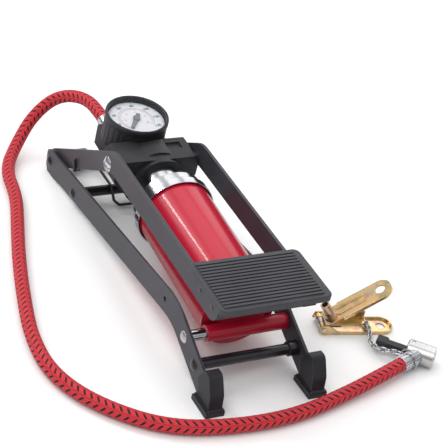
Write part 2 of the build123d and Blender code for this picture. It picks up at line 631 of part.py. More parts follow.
def hose():
    radii = arc_radii(HOSE_RISE[:-1] + HOSE_RUN[1:])
    bends = len(HOSE_RISE) - 2
    hose_tube("hose_upper", HOSE_RISE, radii[:bends])
    hose_tube("hose", HOSE_RUN, radii[bends:])


# ---------------------------------------------------------------- chuck on the hose's end
CHUCK_LENGTH = 19.6
CHUCK_START = (122.8, -131.5)     # (X, Y) of the lever end of the sleeve
CHUCK_TURN = -46.0                # of its axis, from +X
CHUCK = Location((*CHUCK_START, CHUCK_R), (0, 0, CHUCK_TURN))
CHUCK_PIN_ALONG = 3.6
LEVER_LOW, LEVER_HIGH = -4.1, 0.5
FERRULE_R = 5.4
FERRULE_END = (126.9, -139.95, CHUCK_R)
CRIMP_RIDGES = 12


def along_x(outer, inner, low, high):
    """A sleeve about the X axis."""
    sleeve = rod_x(outer, low, high, 0, 0)
    return sleeve - rod_x(inner, low - 1, high + 1, 0, 0) if inner else sleeve


def thumb_lever():
    """Drawn along -X from its upright pin: a round cam, an arm and a thick grip."""
    plan = [(CHUCK_PIN_ALONG, -2.8, 0), (-13.6, -2.6, 0), (-14.2, -4.4, 0.8), (-21.8, -4.4, 1.2),
            (-21.8, 4.4, 1.2), (-14.2, 4.4, 0.8), (-13.6, 2.6, 0), (CHUCK_PIN_ALONG, 2.8, 0)]
    lever_arm = Pos(0, 0, LEVER_LOW) * extrude(rounded_face(plan), LEVER_HIGH - LEVER_LOW)
    lever_arm += Pos(CHUCK_PIN_ALONG, 0, 0) * disc(3.6, LEVER_LOW, LEVER_HIGH)
    lever_arm += block(-21.2, -14.8, -3.8, 3.8, LEVER_HIGH - 0.1, LEVER_HIGH + 0.8)
    return lever_arm - Pos(CHUCK_PIN_ALONG, 0, 0) * disc(1.2 + RUNNING, -9, 9)


def chuck():
    """Drawn along +X: the thumb lever at 0, the mouth at the far end."""
    shoulder = CHUCK_LENGTH - 3.0
    body = along_x(CHUCK_R, 0, 0, shoulder)
    body = chamfer(body.edges().filter_by(GeomType.CIRCLE).sort_by(Axis.X)[:1], 0.8)
    body -= along_x(4.9, 0, 10.0, CHUCK_LENGTH)
    body -= along_x(1.6, 0, 7.0, 11.0)
    body -= block(-1, 7.8, -9, 9, LEVER_LOW - 0.3, LEVER_HIGH + 0.3)
    body -= Pos(CHUCK_PIN_ALONG, 0, 0) * disc(1.2, -6.5, 9)
    node("chuck_body", CHUCK * body)
    cap = along_x(CHUCK_R, 4.2, shoulder, CHUCK_LENGTH)
    cap += along_x(CHUCK_R - 1.6, 4.2, CHUCK_LENGTH - 0.1, CHUCK_LENGTH + 0.7)
    node("chuck_cap", CHUCK * cap)
    node("chuck_seal", CHUCK * along_x(4.88, 3.0, 11.5, shoulder))
    node("chuck_valve_pin", CHUCK * (along_x(1.5, 0, 8.2, 15.0) + along_x(3.6, 0, 10.1, 11.3)))
    node("chuck_lever_pin", CHUCK * Pos(CHUCK_PIN_ALONG, 0, 0) * disc(1.2, -6.5, 7.3))
    node("chuck_thumb_lever", CHUCK * thumb_lever())
    node("hose_ferrule", ferrule())


def ferrule():
    """Crimped end fitting, from the hose's end to the side of the chuck's sleeve."""
    start, end = Vector(*HOSE_RUN[-1]), Vector(*FERRULE_END)
    frame = Location(Plane(origin=start, z_dir=end - start))
    length = (end - start).length
    body = disc(FERRULE_R, 0, length)
    for index in range(CRIMP_RIDGES):
        turn = Rot(0, 0, 360.0 * index / CRIMP_RIDGES)
        body += turn * block(FERRULE_R - 1.0, FERRULE_R + 0.35, -0.5, 0.5, 0, length)
    return frame * body - CHUCK * rod_x(CHUCK_R + 0.02, -5, CHUCK_LENGTH + 5, 0, 0)


# ---------------------------------------------------------------- spring clip and its chain
CLIP = Location((78.4, -85.5, 0.0), (0, 0, -13.0))     # X from the hinge to the tip, on the floor
CLIP_HINGE_UP = 4.6
CLIP_OPEN = 36.0                  # the upper arm stands this far open
CLIP_HALF = 9.0
SHEET = 0.9
HINGE_R = 1.3
SPRING_HALF = 3.0
TIP_R = 8.4
LOWER_LENGTH, UPPER_LENGTH = 55.5, 56.5


def clip_arm(length, rim):
    """A pressed arm from the hinge along +X: a long rounded plate with a turned-down rim."""
    outline = [(6.0, -CLIP_HALF, 1), (length, -CLIP_HALF, TIP_R),
               (length, CLIP_HALF, TIP_R), (6.0, CLIP_HALF, 1)]
    shell = rounded_face(outline)
    inside = offset(shell, amount=-SHEET, kind=Kind.INTERSECTION)
    return extrude(shell, SHEET) + Pos(0, 0, -rim + SHEET) * (extrude(shell, rim) - extrude(inside, rim))


def clip():
    """Alligator clip, open: two pressed arms on a hinge pin, with the spring between them."""
    lower = Pos(0, 0, SHEET) * Rot(180, 0, 0) * clip_arm(LOWER_LENGTH, 2.6)
    lower -= block(5.0, 7.5, SHEET - CLIP_HALF, CLIP_HALF - SHEET, SHEET, 4.0)
    lower -= Pos(30.0, 0, 0) * disc(2.0, -1, 4)
    lower -= Pos(47.0, 0, 0) * disc(3.4, -1, 4)
    ear = [(-3.0, 3.0, 0), (-1.5, CLIP_HINGE_UP + 3.0, 1), (4.0, CLIP_HINGE_UP + 3.0, 1), (12.0, 2.0, 0),
           (12.0, 0, 0), (2.0, 0, 0)]
    wall = [(4.0, CLIP_HINGE_UP + 2.0, 0), (26.0, 8.5, 2), (36.5, 8.0, 0.5), (36.5, 0, 0), (4.0, 0, 0)]
    for low in (-CLIP_HALF, CLIP_HALF - SHEET):
        lower += Pos(0, low, 0) * extrude(Plane.XZ * rounded_face(ear), SHEET, dir=(0, 1, 0))
    lower += Pos(0, CLIP_HALF - SHEET, 0) * extrude(Plane.XZ * rounded_face(wall), SHEET, dir=(0, 1, 0))
    pin = Pos(0.5, 0, CLIP_HINGE_UP) * Rot(90, 0, 0)
    lower -= pin * Cylinder(HINGE_R, 30)
    node("clip_lower_arm", CLIP * lower)
    node("clip_hinge_pin", CLIP * pin * Cylinder(HINGE_R, 2 * CLIP_HALF + 1.4))
    inner = CLIP_HALF - SHEET - 0.4
    upper = clip_arm(UPPER_LENGTH, 2.4) & block(9.0, 70.0, -inner, inner, -5, 5)
    upper += clip_arm(UPPER_LENGTH, 2.4) & block(16.0, 70.0, -10, 10, -5, 5)
    upper += block(-2.0, 10.0, -inner, inner, 0, SHEET)
    upper += Rot(90, 0, 0) * Cylinder(HINGE_R + 1.4, 2 * inner)
    for side in (-1, 1):
        upper += block(14.0, 36.5, side * 3.0 - 0.7, side * 3.0 + 0.7, SHEET - 0.1, SHEET + 0.7)
    upper -= Pos(48.0, 0, 0) * disc(3.7, -4, 4)
    upper -= Rot(90, 0, 0) * Cylinder(HINGE_R + RUNNING, 30)
    upper -= Rot(90, 0, 0) * Cylinder(2.9, 2 * SPRING_HALF + 0.6)
    place = CLIP * Pos(0.5, 0, CLIP_HINGE_UP) * Rot(0, -CLIP_OPEN, 0)
    node("clip_upper_arm", place * (upper - Pos(9.0, 0, 0) * disc(3.0, -5, 5)))
    nozzle = disc(3.4, SHEET, 12.5) + disc(5.2, SHEET, 2.6) + disc(2.98, -1.0, SHEET)
    node("clip_nozzle", place * Pos(9.0, 0, 0) * (nozzle - disc(2.4, -2, 16)))
    coil = pin * (Cylinder(2.5, 2 * SPRING_HALF) - Cylinder(HINGE_R + 0.3, 20))
    on_floor = SHEET + 0.5
    leg = wire_form([(0.5, 0, CLIP_HINGE_UP - 2.0), (10.0, 0, on_floor), (17.0, 0, on_floor)], 0.45, 1.0)
    node("clip_spring", CLIP * (coil + leg))


LINK_WIRE = 0.6
LINK_LENGTH, LINK_WIDTH = 6.4, 4.4
LINKS = 15
RING_MIDDLE = (117.3, -142.5, CHUCK_R + 0.2)            # of the ring hung round the ferrule
RING_R = 7.2
CHAIN_PATH = [(114.2, -89.5, 3.4), (111.6, -97.0, 4.0), (108.5, -104.5, 5.6), (104.6, -111.5, 6.2),
              (101.6, -118.5, 6.4), (103.6, -125.5, 6.8), (109.6, -130.6, 7.2), (115.45, -136.05, 8.0)]


def chain_link(place):
    """One oval link, its long way along X of its place."""
    rim = SlotOverall(LINK_LENGTH - 2 * LINK_WIRE, LINK_WIDTH - 2 * LINK_WIRE).face().outer_wire()
    start = Plane(origin=rim @ 0, z_dir=rim % 0)
    return place * sweep(start * Circle(LINK_WIRE), path=rim)


def chain():
    """Links from the clip to the ring round the ferrule, each about square to the next."""
    path = Spline(*CHAIN_PATH)
    links = []
    for index in range(LINKS):
        share = (index + 0.5) / LINKS
        way = path % share
        level = Vector(0, 0, 1).cross(way)
        roll = (45 if index % 2 else -45) + 45 * index / (LINKS - 1)
        flat = Plane(origin=path @ share, x_dir=way, z_dir=way.cross(level))
        links.append(chain_link(Location(flat) * Rot(roll, 0, 0)))
    node("chain_links", *links)
    ring_place = Plane(origin=RING_MIDDLE, z_dir=Vector(*FERRULE_END) - Vector(*HOSE_RUN[-1]))
    node("chain_ring", Location(ring_place) * Torus(RING_R, LINK_WIRE))
    spacing = round(path.length / LINKS, 2)
    print("chain link spacing", spacing, "longest possible", LINK_LENGTH - 4 * LINK_WIRE)


# ---------------------------------------------------------------- write the parts
def build():
    base_frame()
    node("return_spring", return_spring())
    lever()
    barrel()
    piston_group()
    head()
    gauge()
    hose()
    chuck()
    clip()
    chain()
    for name, solid in NODES.items():
        export_step(solid, f"parts/{name}.step")
    print("lever turns", LEVER_SWEEP, "barrel tilts", round(TILT_OPEN - TILT, 3), "stroke", round(STROKE, 3))
    print("pin drift", [(round(along, 1), round(up, 1)) for along, up in slot_path()][::3])


build()
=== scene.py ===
"""Foot pump with a gauge and a braided hose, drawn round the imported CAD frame."""

import math

import bpy
from mathutils import Matrix, Vector


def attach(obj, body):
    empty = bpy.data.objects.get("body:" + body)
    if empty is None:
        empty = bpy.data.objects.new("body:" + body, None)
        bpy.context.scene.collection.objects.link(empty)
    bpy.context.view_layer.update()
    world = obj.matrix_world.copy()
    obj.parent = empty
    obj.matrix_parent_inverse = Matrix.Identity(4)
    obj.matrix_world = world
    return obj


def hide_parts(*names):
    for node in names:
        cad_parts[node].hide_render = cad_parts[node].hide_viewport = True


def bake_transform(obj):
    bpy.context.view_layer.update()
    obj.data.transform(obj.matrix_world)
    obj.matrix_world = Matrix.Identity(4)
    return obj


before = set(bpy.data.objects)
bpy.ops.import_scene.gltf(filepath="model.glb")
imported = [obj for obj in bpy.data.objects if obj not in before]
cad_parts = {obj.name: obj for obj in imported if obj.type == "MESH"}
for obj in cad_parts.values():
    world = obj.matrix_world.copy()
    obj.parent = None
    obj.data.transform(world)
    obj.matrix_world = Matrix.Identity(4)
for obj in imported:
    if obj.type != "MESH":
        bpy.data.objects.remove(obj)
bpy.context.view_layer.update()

MM = 0.001
TILT = math.radians(5.9443)                 # slope of the pump's axis above the floor
AXIS_START = (0.0, -0.101166, 0.031660)     # where the pump's axis starts, at the front
GAUGE_ALONG = 0.193014                      # along the pump's axis to the middle of the gauge
GAUGE_X = -0.0008
DIAL_FACE = 0.0266                          # heights above the pump's axis
RIM_TOP = 0.0318
HOUSING_HEIGHT = 0.024

PUMP = Matrix.Translation(AXIS_START) @ Matrix.Rotation(TILT, 4, "X")
GAUGE = PUMP @ Matrix.Translation((GAUGE_X, GAUGE_ALONG, 0.0))


# ---------------------------------------------------------------- camera
EYE = Vector((-0.4392, -0.7486, 0.5942))
AZIMUTH = math.radians(-32.48)
ELEVATION = math.radians(32.11)
ROLL = math.radians(-11.63)
LENS = 115.9


def make_camera():
    """The camera, from its place, the direction that it looks in, and its roll."""
    back = Vector((math.sin(AZIMUTH) * math.cos(ELEVATION), -math.cos(AZIMUTH) * math.cos(ELEVATION),
                   math.sin(ELEVATION)))
    level = Vector((math.cos(AZIMUTH), math.sin(AZIMUTH), 0.0))
    rise = back.cross(level)
    right = math.cos(ROLL) * level - math.sin(ROLL) * rise
    up = math.sin(ROLL) * level + math.cos(ROLL) * rise
    camera = bpy.data.objects.new("camera", bpy.data.cameras.new("camera"))
    camera.data.lens = LENS
    camera.data.sensor_width = 36.0
    camera.data.clip_start = 0.01
    camera.data.clip_end = 50.0
    camera.matrix_world = Matrix.Translation(EYE) @ Matrix((right, up, back)).transposed().to_4x4()
    bpy.context.scene.collection.objects.link(camera)
    bpy.context.scene.camera = camera


make_camera()


# ---------------------------------------------------------------- shader helpers
FLAT = 0.998                # cosine between softened and true normal, above which a surface counts as flat
EDGE_SIZE = 0.45 * MM       # radius over which edges are softened
DIELECTRIC_SHINE = 0.28     # specular level of paint, plastic and yarn


class Shader:
    """One material's nodes, with short calls that add a node and give back its output."""

    def __init__(self, name):
        self.material = bpy.data.materials.new(name)
        self.material.use_nodes = True
        self.tree = self.material.node_tree
        self.surface = self.tree.nodes["Principled BSDF"]

    def put(self, socket, value):
        if isinstance(value, bpy.types.NodeSocket):
            self.tree.links.new(value, socket)
        elif value is not None:
            socket.default_value = value

    def node(self, kind, settings=None, **inputs):
        made = self.tree.nodes.new(kind)
        for key, value in (settings or {}).items():
            setattr(made, key, value)
        for key, value in inputs.items():
            self.put(made.inputs[key.replace("_", " ")], value)
        return made

    def sum(self, operation, *values):
        """A Math node."""
        made = self.node("ShaderNodeMath", {"operation": operation})
        for index, value in enumerate(values):
            self.put(made.inputs[index], value)
        return made.outputs[0]

    def between(self, value, low, high):
        """0 at low and 1 at high, with soft ends."""
        made = self.node("ShaderNodeMapRange", {"interpolation_type": "SMOOTHSTEP"}, Value=value)
        made.inputs["From Min"].default_value = low
        made.inputs["From Max"].default_value = high
        return made.outputs[0]

    def spread(self, value, low, high):
        """A value of 0 to 1 taken to low to high."""
        made = self.node("ShaderNodeMapRange", Value=value)
        made.inputs["To Min"].default_value = low
        made.inputs["To Max"].default_value = high
        return made.outputs[0]

    def mix(self, share, first, second):
        made = self.node("ShaderNodeMix", {"data_type": "RGBA"})
        self.put(made.inputs[0], share)
        self.put(made.inputs[6], first if isinstance(first, bpy.types.NodeSocket) else (*first, 1.0))
        self.put(made.inputs[7], second if isinstance(second, bpy.types.NodeSocket) else (*second, 1.0))
        return made.outputs[2]

    def noise(self, place, size, detail=2.0):
        """Noise whose lumps are about size metres across."""
        return self.node("ShaderNodeTexNoise", Vector=place, Scale=1.0 / size, Detail=detail).outputs["Fac"]

    def object_place(self):
        place = self.node("ShaderNodeTexCoord").outputs["Object"]
        return self.node("ShaderNodeMapping", Vector=place).outputs[0]

    def rounded(self, radius):
        return self.node("ShaderNodeBevel", {"samples": 4}, Radius=radius).outputs[0]

    def near_edge(self, soft, inner):
        """1 where the softened normal leans away from the face, 0 where the surface is flat."""
        face = self.node("ShaderNodeNewGeometry").outputs["Normal"]
        turned = self.node("ShaderNodeVectorMath", {"operation": "DOT_PRODUCT"})
        self.put(turned.inputs[0], soft)
        self.put(turned.inputs[1], face)
        return self.between(turned.outputs["Value"], FLAT, inner)

    def bump(self, height, depth, normal=None):
        made = self.node("ShaderNodeBump", Height=height, Distance=depth, Strength=1.0)
        self.put(made.inputs["Normal"], normal)
        return made.outputs[0]

    def set(self, **values):
        for key, value in values.items():
            if isinstance(value, tuple) and len(value) == 3:
                value = (*value, 1.0)
            self.put(self.surface.inputs[key.replace("_", " ")], value)


def finish_of(name, colour, other, rough, metallic=0.0, coat=0.0, coat_rough=0.05, grain=0.4, depth=0.02,
              cloud=18.0, edge_highlight_and_wear=None, edge_share=0.6):
    """A surface with clouded colour, uneven roughness, a fine grain and softened edges, lightened by a
    painted highlight that is broken up like wear.

    Grain and cloud are the sizes of the two noises and depth is the height of the grain, all in mm.
    """
    shader = Shader(name)
    place = shader.object_place()
    fine = shader.noise(place, grain * MM, 3.0)
    broad = shader.noise(place, cloud * MM, 3.0)
    tone = shader.mix(shader.between(broad, 0.35, 0.65), colour, other)
    soft = shader.rounded(EDGE_SIZE)
    # painted highlight: the edge colour is mixed in where the softened normal turns from the face, broken up
    # by the fine noise like wear
    if edge_highlight_and_wear:
        near = shader.near_edge(soft, 0.94)
        highlight_and_wear_share = shader.sum("MULTIPLY", near, shader.spread(fine, 0.4 * edge_share, 1.5 * edge_share))
        tone = shader.mix(highlight_and_wear_share, tone, edge_highlight_and_wear)
    mottle = shader.sum("ADD", shader.sum("MULTIPLY", broad, 0.6), shader.sum("MULTIPLY", fine, 0.4))
    shader.set(Base_Color=tone, Roughness=shader.spread(mottle, rough[0], rough[1]), Metallic=metallic,
               Coat_Weight=coat, Coat_Roughness=coat_rough, Specular_IOR_Level=DIELECTRIC_SHINE,
               Normal=shader.bump(fine, depth * MM, soft))
    return shader.material


# ---------------------------------------------------------------- finishes
def enamel(name, colour, deep):
    """Gloss paint with a faint orange peel under a clear coat, and a pale pink painted highlight on its
    edges, broken up like wear.
    """
    return finish_of(name, colour, deep, (0.26, 0.36), coat=0.25, coat_rough=0.06, grain=1.6, depth=0.012,
                     cloud=60.0, edge_highlight_and_wear=(0.75, 0.30, 0.34), edge_share=0.35)


def yellow_passivate(name):
    """Zinc plate with the gold, green and pink film of a chromate dip."""
    shader = Shader(name)
    place = shader.object_place()
    slow = shader.noise(place, 14 * MM, 2.0)
    film = shader.node("ShaderNodeValToRGB", Fac=slow)
    stops = film.color_ramp.elements
    stops[0].position, stops[0].color = 0.32, (0.42, 0.37, 0.18, 1.0)
    stops[1].position, stops[1].color = 0.70, (0.60, 0.27, 0.19, 1.0)
    for position, colour in ((0.43, (0.64, 0.45, 0.22, 1.0)), (0.52, (0.76, 0.49, 0.24, 1.0)),
                             (0.61, (0.54, 0.46, 0.29, 1.0))):
        stop = stops.new(position)
        stop.color = colour
    fine = shader.noise(place, 0.5 * MM, 3.0)
    soft = shader.rounded(0.7 * MM)
    near = shader.near_edge(soft, 0.90)
    tone = shader.mix(shader.sum("MULTIPLY", near, 0.8), film.outputs[0], (0.42, 0.20, 0.13))
    shader.set(Base_Color=tone, Metallic=1.0, Roughness=shader.spread(fine, 0.16, 0.34),
               Normal=shader.bump(fine, 0.02 * MM, soft))
    return shader.material


HOSE_ROWS = 6                # columns of yarns round the hose, their slant turning at each border
YARN = 1.3 * MM              # pitch of the yarns along the hose
YARNS_A_SPAN = 4             # one black fleck to every four yarns
FLECK_END, FLECK_FULL = 0.92, 0.80      # from a fleck's middle, in yarns: where it ends, where it is full
HOSE_R = 5.0 * MM
SLANT = 2 * math.pi * HOSE_R / HOSE_ROWS / YARN * 0.8     # lean of a yarn over one column, in yarns


def braid(name):
    """Red yarns in slanting columns with a black fleck every fourth yarn and painted shade in the grooves
    between them, from the hose's own map.

    The map counts turns round the hose and yarns along it.
    """
    shader = Shader(name)
    place = shader.node("ShaderNodeUVMap", {"uv_map": "braid"}).outputs[0]
    split = shader.node("ShaderNodeSeparateXYZ", Vector=place)
    column = shader.sum("MULTIPLY", split.outputs["X"], float(HOSE_ROWS))
    row = shader.sum("FLOOR", column)
    across = shader.sum("SUBTRACT", shader.sum("FRACT", column), 0.5)
    side = shader.sum("SUBTRACT", 1.0, shader.sum("MULTIPLY", shader.sum("MODULO", row, 2.0), 2.0))
    lean = shader.sum("MULTIPLY", shader.sum("MULTIPLY", across, side), SLANT)
    along = shader.sum("ADD", split.outputs["Y"], lean)
    yarn = shader.sum("ABSOLUTE", shader.sum("SUBTRACT", shader.sum("FRACT", along), 0.5))
    quarter = shader.sum("MULTIPLY", shader.sum("FRACT", shader.sum("DIVIDE", along, float(YARNS_A_SPAN))),
                         float(YARNS_A_SPAN))
    off_black = shader.sum("ABSOLUTE", shader.sum("SUBTRACT", quarter, 0.5))
    black = shader.sum("MULTIPLY", shader.between(off_black, FLECK_END, FLECK_FULL),
                       shader.between(shader.sum("ABSOLUTE", across), 0.37, 0.28))
    # painted shade: the grooves between yarns and along the column borders are darkened towards a deep red
    groove_shade = shader.sum("MAXIMUM", shader.between(yarn, 0.34, 0.5),
                        shader.between(shader.sum("ABSOLUTE", across), 0.42, 0.5))
    threads = shader.noise(shader.object_place(), 0.22 * MM, 3.0)
    red = shader.mix(threads, (0.50, 0.014, 0.026), (0.72, 0.045, 0.060))
    # the painted shade is mixed into the red here
    red = shader.mix(shader.sum("MULTIPLY", groove_shade, 0.75), red, (0.20, 0.006, 0.010))
    tone = shader.mix(black, red, (0.006, 0.005, 0.006))
    shader.set(Base_Color=tone, Roughness=shader.spread(threads, 0.5, 0.7), Sheen_Weight=0.04,
               Specular_IOR_Level=DIELECTRIC_SHINE, Normal=shader.bump(threads, 0.08 * MM))
    return shader.material


def dial_print(name, colour):
    """Printing ink, slightly speckled."""
    shader = Shader(name)
    speckle = shader.noise(shader.object_place(), 0.3 * MM, 2.0)
    paler = tuple(0.9 * part + 0.05 for part in colour)
    shader.set(Base_Color=shader.mix(speckle, colour, paler), Roughness=shader.spread(speckle, 0.45, 0.6))
    return shader.material


def lens_plastic(name):
    """Clear plastic with a little haze, seen mostly by its reflections."""
    shader = Shader(name)
    haze = shader.noise(shader.object_place(), 6 * MM, 2.0)
    shader.set(Base_Color=(0.05, 0.06, 0.07), Roughness=shader.spread(haze, 0.04, 0.10), Alpha=0.07)
    return shader.material


CHARCOAL, CHARCOAL_LIGHT = (0.042, 0.041, 0.051), (0.050, 0.049, 0.060)
# painted highlight colour for the edges of the charcoal paint
PALE_EDGE_HIGHLIGHT = (0.30, 0.30, 0.33)
# Each edge colour in this table paints a highlight along the piece's edges, broken up by noise like wear; on
# the plated metals it is near white.
FINISHES = {
    "charcoal_steel": finish_of(
        "charcoal_steel", CHARCOAL, CHARCOAL_LIGHT, (0.34, 0.46), grain=0.35, depth=0.012,
        cloud=30.0, edge_highlight_and_wear=PALE_EDGE_HIGHLIGHT, edge_share=0.45),
    "black_steel": finish_of(
        "black_steel", (0.012, 0.011, 0.013), (0.02, 0.019, 0.022), (0.16, 0.30), coat=0.3,
        grain=0.6, depth=0.01, edge_highlight_and_wear=(0.14, 0.14, 0.15), edge_share=0.4),
    "zinc_steel": finish_of(
        "zinc_steel", (0.42, 0.43, 0.45), (0.52, 0.53, 0.55), (0.10, 0.24), metallic=1.0,
        grain=0.5, depth=0.006, edge_highlight_and_wear=(0.95, 0.95, 0.95)),
    "spring_steel": finish_of(
        "spring_steel", (0.30, 0.30, 0.31), (0.42, 0.42, 0.43), (0.2, 0.34), metallic=1.0,
        grain=0.4, depth=0.008),
    "red_enamel": enamel("red_enamel", (0.50, 0.007, 0.032), (0.46, 0.006, 0.028)),
    "painted_tube": enamel("painted_tube", (0.48, 0.007, 0.030), (0.44, 0.006, 0.026)),
    "red_cast": finish_of(
        "red_cast", (0.40, 0.010, 0.030), (0.46, 0.012, 0.036), (0.28, 0.4), coat=0.8,
        grain=1.2, depth=0.02, cloud=30.0),
    "black_plastic": finish_of(
        "black_plastic", (0.018, 0.018, 0.022), (0.026, 0.026, 0.031), (0.42, 0.56),
        grain=0.3, depth=0.025, edge_highlight_and_wear=(0.16, 0.16, 0.18), edge_share=0.5),
    "black_rubber": finish_of(
        "black_rubber", (0.012, 0.012, 0.013), (0.020, 0.020, 0.021), (0.55, 0.7), grain=0.4,
        depth=0.03, edge_highlight_and_wear=(0.07, 0.07, 0.075)),
    "white_enamel": finish_of(
        "white_enamel", (0.80, 0.82, 0.86), (0.76, 0.78, 0.83), (0.4, 0.52), grain=0.3,
        depth=0.004),
    "grey_metal": finish_of(
        "grey_metal", (0.16, 0.17, 0.19), (0.22, 0.23, 0.25), (0.4, 0.5), grain=0.3,
        depth=0.01),
    "clear_plastic": lens_plastic("clear_plastic"),
    "brass": finish_of(
        "brass", (0.58, 0.42, 0.28), (0.50, 0.40, 0.30), (0.18, 0.32), metallic=1.0, grain=0.5,
        depth=0.01, edge_highlight_and_wear=(0.85, 0.70, 0.52)),
    "crimped_steel": finish_of(
        "crimped_steel", (0.48, 0.50, 0.52), (0.56, 0.58, 0.60), (0.18, 0.32), metallic=1.0,
        grain=0.3, depth=0.015, edge_highlight_and_wear=(0.92, 0.93, 0.94)),
    "nickel": finish_of(
        "nickel", (0.46, 0.455, 0.45), (0.54, 0.53, 0.52), (0.20, 0.34), metallic=1.0, grain=0.25,
        depth=0.006, edge_highlight_and_wear=(0.95, 0.95, 0.94)),
    "yellow_zinc": yellow_passivate("yellow_zinc"),
    "red_braid": braid("red_braid"),
    "pad_plastic": finish_of(
        "pad_plastic", (0.046, 0.046, 0.053), (0.056, 0.056, 0.064), (0.46, 0.6), grain=0.5,
        depth=0.03, cloud=24.0, edge_highlight_and_wear=(0.13, 0.13, 0.15), edge_share=0.5),
    "shoe_plastic": finish_of(
        "shoe_plastic", (0.014, 0.013, 0.018), (0.022, 0.021, 0.027), (0.40, 0.54),
        grain=0.45, depth=0.03, edge_highlight_and_wear=(0.14, 0.14, 0.16), edge_share=0.5),
}
SPECIAL = {
    "pedal_pad": "pad_plastic", "left_foot_shoe": "shoe_plastic", "right_foot_shoe": "shoe_plastic",
}


def dress_cad_nodes():
    """Gives every CAD piece the finish of its slot, or its own where one is named."""
    for name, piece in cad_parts.items():
        for holder in piece.material_slots:
            holder.material = FINISHES[SPECIAL.get(name, holder.material.name.split(".")[0])]


dress_cad_nodes()


# ---------------------------------------------------------------- mesh helpers
def mesh_piece(name, points, faces, finish, smooth=True):
    """A mesh object of one finish, in the frame's own coordinates."""
    mesh = bpy.data.meshes.new(name)
    mesh.from_pydata([tuple(point) for point in points], [], faces)
    mesh.validate()
    mesh.update()
    mesh.materials.append(finish)
    if smooth:
        mesh.shade_smooth()
    piece = bpy.data.objects.new(name, mesh)
    bpy.context.scene.collection.objects.link(piece)
    return piece


# ---------------------------------------------------------------- hose
# Route points in mm: from the barb on the head to the split, and on along the floor to the ferrule.
HOSE_SPLIT = (-50.0, 180.5, 19.25)
HOSE_RISE = [
    (-8, 113.56, 55.22), (-8, 128.98, 56.83), (-10.7, 157.7, 58.9), (-24.0, 182.0, 48.6),
    (-41.5, 187.0, 28.5), HOSE_SPLIT,
]
HOSE_RUN = [
    HOSE_SPLIT, (-58.5, 174.0, 10.0), (-75.0, 148.5, 5.1), (-79.6, 110.0, 5.1), (-91.5, 74, 5.1),
    (-105.5, 31, 5.1), (-118, -15, 5.1), (-127, -55, 5.1), (-127.5, -93, 5.1), (-111, -128, 5.1),
    (-77, -160, 5.1), (-34, -171, 5.1), (12, -172, 5.1), (55, -162, 6.0), (84.8, -154.1, 7.8),
    (108, -146.3, 7.8),
]
HOSE_SIDES = 60
SHORTEST_STEP = 1e-7        # points of a path closer than this count as one
RELIEF = 0.20 * MM          # height of a yarn above the grooves
RELIEF_MEAN = 0.6           # share of the relief that lies inside the hose's mean radius
HOSE_SINK = 0.08 * MM       # the mean radius lies this far inside the hose's full radius


def spline_points(route, name):
    """Points read from the NURBS spline through the route."""
    curve = bpy.data.curves.new(name, "CURVE")
    curve.dimensions = "3D"
    curve.resolution_u = 64
    spline = curve.splines.new("NURBS")
    spline.points.add(len(route) - 1)
    for control, point in zip(spline.points, route):
        control.co = (point[0] * MM, point[1] * MM, point[2] * MM, 1.0)
    spline.order_u = 3
    spline.use_endpoint_u = True
    holder = bpy.data.objects.new(name, curve)
    bpy.context.scene.collection.objects.link(holder)
    bpy.context.view_layer.update()
    line = bpy.data.meshes.new_from_object(holder.evaluated_get(bpy.context.evaluated_depsgraph_get()))
    points = [vertex.co.copy() for vertex in line.vertices]
    bpy.data.objects.remove(holder)
    return [point for index, point in enumerate(points)
            if index == 0 or (point - points[index - 1]).length > SHORTEST_STEP]


def yarn_relief(turn, along):
    """How far the braid stands off the hose's mean radius, in metres: yarns with grooves between them."""
    column = turn * HOSE_ROWS
    row = math.floor(column)
    across = column - row - 0.5
    lean = across * (1 - 2 * (row % 2)) * SLANT
    yarn = abs((along + lean) % 1.0 - 0.5) * 2
    crown = math.sqrt(max(0.0, 1 - yarn * yarn))
    border = min(1.0, (0.5 - abs(across)) * 6)
    return (crown * border - RELIEF_MEAN) * RELIEF


def braided_tube(name, path, side, travelled):
    """A tube with braid relief along the path.

    Gives back the piece, the side vector at its end and the distance run, for the next length to go on from.
    """
    points, faces, maps = [], [], []
    distances = [travelled]
    for index, middle in enumerate(path):
        ahead = path[min(index + 1, len(path) - 1)] - path[max(index - 1, 0)]
        ahead.normalize()
        side = (side - ahead * side.dot(ahead)).normalized()
        over = ahead.cross(side)
        if index:
            distances.append(distances[-1] + (middle - path[index - 1]).length)
        along = distances[-1] / YARN
        for corner in range(HOSE_SIDES):
            turn = corner / HOSE_SIDES
            angle = 2 * math.pi * turn
            reach = HOSE_R - HOSE_SINK + yarn_relief(turn, along)
            points.append(middle + reach * (math.cos(angle) * side + math.sin(angle) * over))
    for ring in range(len(path) - 1):
        low, high = ring * HOSE_SIDES, (ring + 1) * HOSE_SIDES
        for corner in range(HOSE_SIDES):
            after = (corner + 1) % HOSE_SIDES
            faces.append((low + corner, low + after, high + after, high + corner))
            left, right = corner / HOSE_SIDES, (corner + 1) / HOSE_SIDES
            first, second = distances[ring] / YARN, distances[ring + 1] / YARN
            maps.extend(((left, first), (right, first), (right, second), (left, second)))
    piece = mesh_piece(name, points, faces, FINISHES["red_braid"])
    layer = piece.data.uv_layers.new(name="braid")
    for loop, place in zip(layer.data, maps):
        loop.uv = place
    return piece, side, distances[-1]


def make_hose():
    """The two lengths of hose, each with a braid, in place of the hidden CAD hose pieces."""
    rise = spline_points(HOSE_RISE, "hose_rise_line")
    run = spline_points(HOSE_RUN, "hose_run_line")
    upper, side, travelled = braided_tube("hose_braid_upper", rise, Vector((1.0, 0.0, 0.0)), 0.0)
    lower = braided_tube("hose_braid_lower", run, side, travelled)[0]
    for piece, node in ((upper, "hose_upper"), (lower, "hose")):
        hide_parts(node)
    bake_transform(upper)
    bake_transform(lower)


make_hose()


